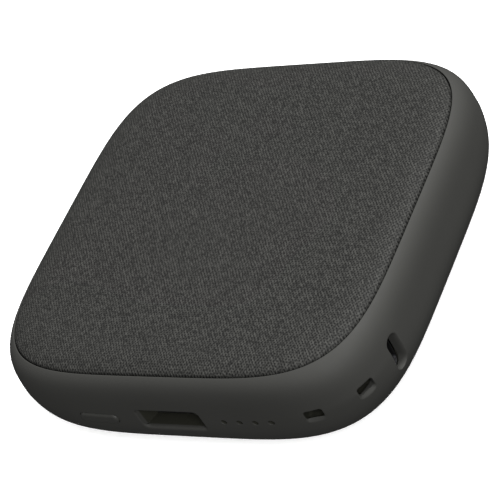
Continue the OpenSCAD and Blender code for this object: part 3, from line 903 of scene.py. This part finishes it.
def woven_cloth(name, tone):
    """Plain weave of mixed light and dark threads, warp along Y and weft along X, with gaps
    between the threads, faint slanted lines, grain drawn out along those lines, and painted shade
    where the cloth turns down steeply at its edge."""
    f = Finish(name, Roughness=0.7, IOR=1.5, Specular_IOR_Level=0.15)
    parts = f.node("SeparateXYZ", {0: f.at})
    shift = f.span(f.noise(900, 2), -0.2, 0.2)
    x = f.math("ADD", f.math("DIVIDE", parts.outputs[0], WARP_PITCH * MM), shift)
    y = f.math("ADD", f.math("DIVIDE", parts.outputs[1], WEFT_PITCH * MM), shift)

    across, along = (f.math("SINE", f.math("MULTIPLY", place, math.pi)) for place in (x, y))
    gap_range = {"Value": f.math("MULTIPLY", across, along), "From Min": 0, "From Max": 0.8}
    gap = f.node("MapRange", gap_range, interpolation_type="SMOOTHSTEP").outputs[0]
    slanted = f.math("COSINE", f.math("MULTIPLY", f.math("ADD", x, y), math.pi))
    depth = f.math("MULTIPLY", f.span(gap, 1.2, 0.12, 0, 1), f.span(slanted, 0.88, 1.12, -1, 1))

    warp, weft = f.math("FLOOR", f.math("MULTIPLY", x, 0.5)), f.math("FLOOR", y)
    thread = f.node("CombineXYZ", {0: f.math("MULTIPLY", warp, 3.7), 1: f.math("MULTIPLY", weft, 0.7)})
    dye = f.node("TexNoise", {"Vector": thread.outputs[0], "Scale": 1.0, "Detail": 2.0}).outputs[0]
    slant = (0, 0, math.atan2(WARP_PITCH, WEFT_PITCH))
    drawn_out = {"Vector": f.at, "Rotation": slant, "Scale": (1, 1.6, 1)}
    drawn_at = f.node("Mapping", drawn_out, vector_type="TEXTURE").outputs[0]
    grain = f.node("TexNoise", {"Vector": drawn_at, "Scale": 3300, "Detail": 0}).outputs[0]
    dye, grain = f.span(dye, 0.85, 1.15, 0.35, 0.65), f.span(grain, 0.45, 1.55, 0.3, 0.7)

    # Painted shade: the cloth darkens where it turns down steeply into the groove at its edge
    upright = f.node("SeparateXYZ", {0: f.node("NewGeometry").outputs["True Normal"]}).outputs[2]
    edge = f.span(upright, 0.6, 1, 0.2, 0.5)
    shade = f.math("MULTIPLY", f.math("MULTIPLY", f.math("MULTIPLY", dye, grain), depth), edge)
    f.set("Base Color", f.node("CombineColor", {
        i: f.math("MULTIPLY", shade, tone * WARM[i]) for i in range(3)
    }).outputs[0])
    f.set("Normal", f.bump(f.math("SUBTRACT", 1, gap), 0.00002, 0.5))
    return f.material


def rubber(name, tone):
    f = Finish(name, Specular_IOR_Level=0.3)
    f.set("Base Color", f.mix(f.noise(500, 3), grey(tone * 0.85), grey(tone * 1.15)))
    f.set("Roughness", f.span(f.noise(900, 2), 0.75, 0.9))
    f.set("Normal", f.bump(f.noise(4000, 2), 0.00003, 0.4))
    return f.material


def metal(name, colour, roughness=0.3, grain=(1, 1, 1)):
    """Rolled or plated metal with fine lines along its length."""
    f = Finish(name, Metallic=1.0)
    dark = tuple(c * 0.85 for c in colour[:3]) + (1,)
    f.set("Base Color", f.mix(f.noise(400, 3), dark, colour))
    lines = f.noise(3000, 2, grain)
    f.set("Roughness", f.span(lines, roughness - 0.07, roughness + 0.1))
    f.set("Normal", f.bump(lines, 0.00001, 0.4))
    return f.material


def film(name, colour, roughness=0.5, crinkle=0.00005):
    """Thin foil, tape, foam or sheet with a faint uneven surface."""
    f = Finish(name)
    dark = tuple(c * 0.85 for c in colour[:3]) + (1,)
    f.set("Base Color", f.mix(f.noise(220, 4), dark, colour))
    f.set("Roughness", f.span(f.noise(500, 3), roughness - 0.08, roughness + 0.08))
    f.set("Normal", f.bump(f.noise(700, 3), crinkle, 0.5))
    return f.material


def circuit_board(name):
    """Green lacquer over a faint pattern of straight tracks."""
    f = Finish(name, Specular_IOR_Level=0.5)
    across = f.node("TexBrick", {
        "Vector": f.at, "Scale": 420, "Color1": grey(0.25), "Color2": grey(0.4), "Mortar": grey(0.9),
        "Mortar Size": 0.03,
    }).outputs[0]
    green, track = (0.012, 0.07, 0.035, 1), (0.03, 0.14, 0.06, 1)
    f.set("Base Color", f.mix(across, green, track))
    f.set("Roughness", f.span(f.noise(800, 2), 0.25, 0.4))
    f.set("Normal", f.bump(across, 0.00003, 0.5))
    return f.material


def make_materials():
    return {
        # The shell's second, darker tone is painted shade deep inside its holes
        "shell_plastic": moulded_plastic("shell_plastic", 0.0265, recess_shade=0.0125),
        "button_plastic": moulded_plastic("button_plastic", 0.026, roughness=0.5),
        "woven_fabric": woven_cloth("woven_fabric", 0.0157),
        "plate_plastic": moulded_plastic("plate_plastic", 0.04),
        "foot_rubber": rubber("foot_rubber", 0.02),
        "screw_steel": metal("screw_steel", (0.55, 0.55, 0.56, 1)),
        "copper_litz": metal("copper_litz", (0.7, 0.33, 0.16, 1), 0.35, (1, 1, 8)),
        "ferrite": film("ferrite", (0.03, 0.03, 0.035, 1), 0.6),
        "tray_plastic": moulded_plastic("tray_plastic", 0.6, tint=(1, 1, 0.97)),
        "thermistor_epoxy": film("thermistor_epoxy", (0.5, 0.1, 0.03, 1), 0.3),
        "lead_insulation": film("lead_insulation", (0.5, 0.03, 0.02, 1), 0.4),
        "cell_foil": film("cell_foil", (0.55, 0.56, 0.58, 1), 0.3, 0.0001),
        "adhesive_film": film("adhesive_film", (0.7, 0.7, 0.62, 1), 0.6),
        "foam": film("foam", (0.02, 0.02, 0.02, 1), 0.95, 0.0002),
        "nickel_strip": metal("nickel_strip", (0.6, 0.58, 0.52, 1)),
        "circuit_board": circuit_board("circuit_board"),
        "inductor_ferrite": film("inductor_ferrite", (0.06, 0.06, 0.065, 1), 0.55),
        "chip_epoxy": film("chip_epoxy", (0.012, 0.012, 0.013, 1), 0.5, 0.00002),
        "capacitor_ceramic": film("capacitor_ceramic", (0.4, 0.28, 0.16, 1), 0.4, 0.00002),
        "led_lens": film("led_lens", (0.8, 0.8, 0.7, 1), 0.2, 0.00001),
        # The light guides' near-black tone is painted shade in the small light holes
        "light_guide_plastic": moulded_plastic("light_guide_plastic", 0.008, roughness=0.4),
        "switch_plastic": moulded_plastic("switch_plastic", 0.02),
        "plunger_plastic": moulded_plastic("plunger_plastic", 0.6),
        # The socket shells' dark tone is partly their plating and partly painted shade deep in the
        # sockets
        "connector_steel": metal("connector_steel", (0.16, 0.16, 0.165, 1), 0.35, (1, 6, 6)),
        "connector_plastic": moulded_plastic("connector_plastic", 0.015),
        "contact_gold": metal("contact_gold", (0.8, 0.55, 0.2, 1), 0.25),
    }


def finish_cad_nodes(materials):
    """Gives each CAD node that stays its finish and rounds its edges a little."""
    usual_edge = 0.08
    edge = {"tray_plastic": 0.2, "cell_foil": 0.5, "inductor_ferrite": 0.3, "connector_steel": 0.04}
    for entry in frame["record"]["subparts"]:
        node = frame["nodes"][entry["node"]]
        if node.hide_render:
            continue
        slot = entry["material_slot"]
        node.data.materials.clear()
        node.data.materials.append(materials[slot])
        weld = node.modifiers.new("weld", "WELD")
        weld.merge_threshold = 0.001 * MM
        bevel = node.modifiers.new("edges", "BEVEL")
        bevel.width = edge.get(slot, usual_edge) * MM
        bevel.segments = 2
        bevel.limit_method = "ANGLE"
        bevel.angle_limit = math.radians(50)
        bevel.use_clamp_overlap = True


# ---------------------------------------------------------------- floor, light and camera
def place_camera():
    """Looks at the object from the photograph's angle; distances in millimetres."""
    azimuth, elevation, roll = math.radians(44.92), math.radians(38.82), math.radians(-32.53)
    distance, lens = 432, 150.45
    aim_right, aim_up = 0.68, 0.49
    back = Vector((
        math.sin(azimuth) * math.cos(elevation),
        -math.cos(azimuth) * math.cos(elevation),
        math.sin(elevation),
    ))
    level = Vector((math.cos(azimuth), math.sin(azimuth), 0))
    upright = back.cross(level)
    right = math.cos(roll) * level + math.sin(roll) * upright
    up = math.cos(roll) * upright - math.sin(roll) * level
    target = Vector((0, 0, TOP / 2))
    place = target + distance * back - aim_right * right - aim_up * up
    camera = bpy.data.objects.new("camera", bpy.data.cameras.new("camera"))
    bpy.context.scene.collection.objects.link(camera)
    turn = Matrix((right, up, back)).transposed()
    camera.matrix_world = Matrix.Translation(place * MM) @ turn.to_4x4()
    camera.data.lens = lens
    camera.data.sensor_width = 36
    camera.data.clip_start = 0.01
    bpy.context.scene.camera = camera


def area_light(name, place, size, power, target=(0, 0, 0.012), tint=(1, 1, 1)):
    data = bpy.data.lights.new(name, "AREA")
    data.shape = "DISK"
    data.size = size
    data.energy = power
    data.color = tint
    lamp = bpy.data.objects.new(name, data)
    lamp.location = place
    lamp.rotation_mode = "QUATERNION"
    lamp.rotation_quaternion = (Vector(place) - Vector(target)).to_track_quat("Z", "Y")
    bpy.context.scene.collection.objects.link(lamp)


def build_studio():
    """A pale floor that glows a little but doesn't light the object, a sky that is darker below,
    and two soft lamps."""
    mesh = bpy.data.meshes.new("floor")
    bm = bmesh.new()
    bmesh.ops.create_grid(bm, x_segments=8, y_segments=8, size=6)
    bm.to_mesh(mesh)
    bm.free()
    f = Finish("pale_floor", Specular_IOR_Level=0.1, Roughness=0.9)
    f.set("Base Color", f.mix(f.noise(3, 2), grey(0.82), grey(0.86)))
    f.shader.inputs["Emission Color"].default_value = grey(1)
    f.shader.inputs["Emission Strength"].default_value = 0.4
    mesh.materials.append(f.material)
    floor = bpy.data.objects.new("floor", mesh)
    bpy.context.scene.collection.objects.link(floor)
    floor.visible_diffuse = False
    floor.visible_glossy = False

    sky_light, ground_light = 0.63, 0.112
    world = bpy.data.worlds.new("studio")
    world.use_nodes = True
    tree = world.node_tree
    parts = tree.nodes.new("ShaderNodeSeparateXYZ")
    ramp = tree.nodes.new("ShaderNodeMapRange")
    ramp.interpolation_type = "SMOOTHSTEP"
    horizon = {"From Min": -0.3, "From Max": 0.5, "To Min": ground_light, "To Max": sky_light}
    for socket, value in horizon.items():
        ramp.inputs[socket].default_value = value
    tree.links.new(tree.nodes.new("ShaderNodeTexCoord").outputs["Generated"], parts.inputs[0])
    tree.links.new(parts.outputs[2], ramp.inputs["Value"])
    tree.links.new(ramp.outputs[0], tree.nodes["Background"].inputs["Strength"])
    tree.nodes["Background"].inputs["Color"].default_value = (1, 1, 1, 1)
    bpy.context.scene.world = world
    area_light("key", (0.383, 0.321, 0.866), 0.5, 17.7)
    area_light("fill", (0.627, -0.527, 0.574), 0.5, 9.7)
    bpy.context.scene.view_settings.view_transform = "Standard"


# ---------------------------------------------------------------- the whole scene
place_camera()
build_studio()
materials = make_materials()
build_shell(materials["shell_plastic"])
build_fabric(materials["woven_fabric"])
build_button(materials["button_plastic"])
build_feet(materials["foot_rubber"])
finish_cad_nodes(materials)
